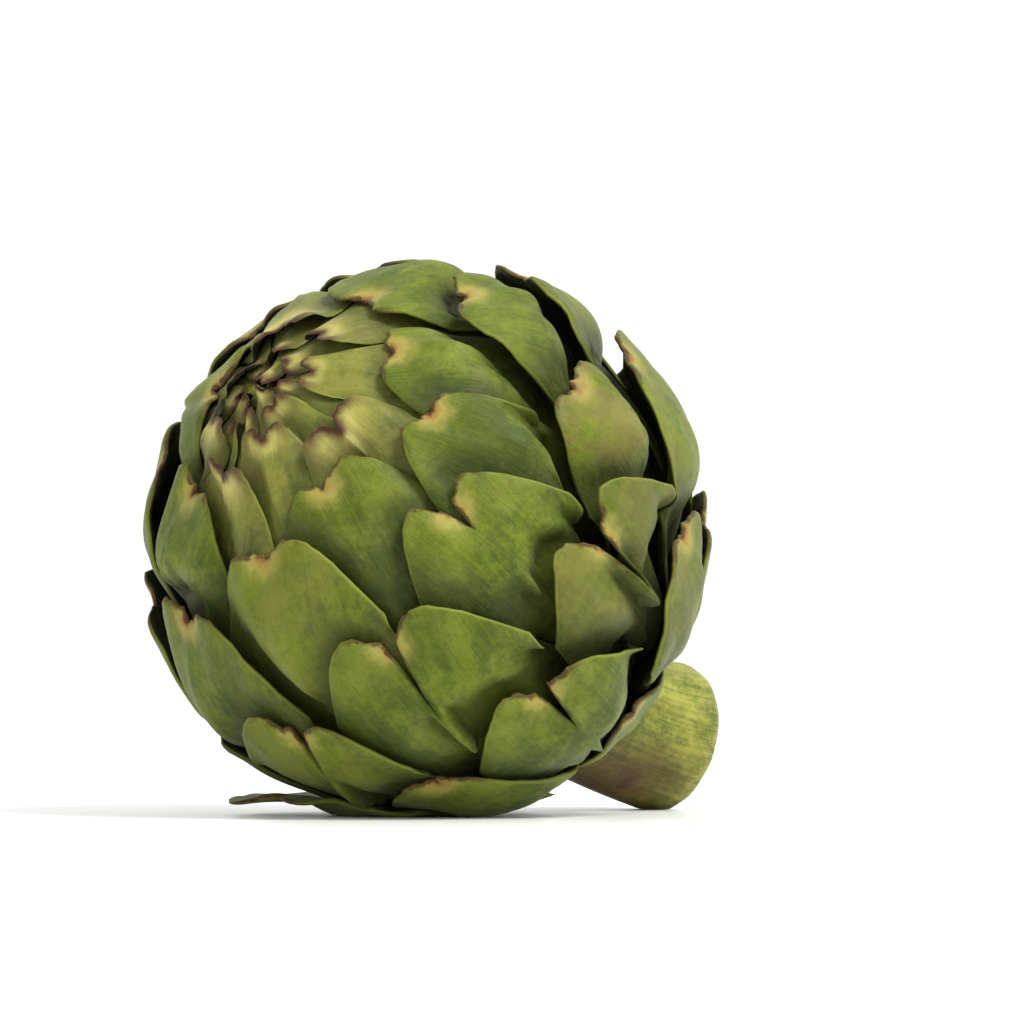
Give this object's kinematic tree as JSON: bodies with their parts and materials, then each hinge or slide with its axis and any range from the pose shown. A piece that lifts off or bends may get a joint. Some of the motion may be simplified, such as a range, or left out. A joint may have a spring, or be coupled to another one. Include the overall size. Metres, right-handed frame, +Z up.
{
  "type": "artichoke",
  "caption": "Whole globe artichoke lying on its side: overlapping green leaves with notched tips round a tight crown, and a short cut stem.",
  "frame": {"origin": "on the surface it lies on, under the middle of its bounding box", "axes": "+Z up; the crown points toward -X and up, the stem toward +X and down, in the XZ plane; +Y across"},
  "size_m": [0.1258, 0.1108, 0.1087],
  "materials": {
    "outer_leaf": "waxy satin green with a thin grey bloom, yellow and rust-brown at the notch",
    "crown_leaf": "waxy satin yellow-green with dark brown edges",
    "stem": "satin yellow-green, ribbed, with a pale fibrous cut"
  },
  "bodies": {
    "root": {"leaf_01": "crown_leaf", "leaf_02": "crown_leaf", "leaf_03": "crown_leaf", "leaf_04": "crown_leaf", "leaf_05": "crown_leaf", "leaf_06": "crown_leaf", "leaf_07": "crown_leaf", "leaf_08": "crown_leaf", "leaf_09": "crown_leaf", "leaf_10": "crown_leaf", "leaf_11": "crown_leaf", "leaf_12": "crown_leaf", "leaf_13": "crown_leaf", "leaf_14": "crown_leaf", "leaf_15": "crown_leaf", "leaf_16": "crown_leaf", "leaf_17": "crown_leaf", "leaf_18": "crown_leaf", "leaf_19": "crown_leaf", "leaf_20": "crown_leaf", "leaf_21": "crown_leaf", "leaf_22": "crown_leaf", "leaf_23": "outer_leaf", "leaf_24": "outer_leaf", "leaf_25": "outer_leaf", "leaf_26": "outer_leaf", "leaf_27": "outer_leaf", "leaf_28": "outer_leaf", "leaf_29": "outer_leaf", "leaf_30": "outer_leaf", "leaf_31": "outer_leaf", "leaf_32": "outer_leaf", "leaf_33": "outer_leaf", "leaf_34": "outer_leaf", "leaf_35": "outer_leaf", "leaf_36": "outer_leaf", "leaf_37": "outer_leaf", "leaf_38": "outer_leaf", "leaf_39": "outer_leaf", "leaf_40": "outer_leaf", "leaf_41": "outer_leaf", "leaf_42": "outer_leaf", "leaf_43": "outer_leaf", "leaf_44": "outer_leaf", "leaf_45": "outer_leaf", "leaf_46": "outer_leaf", "leaf_47": "outer_leaf", "leaf_48": "outer_leaf", "leaf_49": "outer_leaf", "leaf_50": "outer_leaf", "leaf_51": "outer_leaf", "leaf_52": "outer_leaf", "leaf_53": "outer_leaf", "leaf_54": "outer_leaf", "leaf_55": "outer_leaf", "leaf_56": "outer_leaf", "leaf_57": "outer_leaf", "leaf_58": "outer_leaf", "stem_and_heart": "stem"}
  },
  "joints": []
}
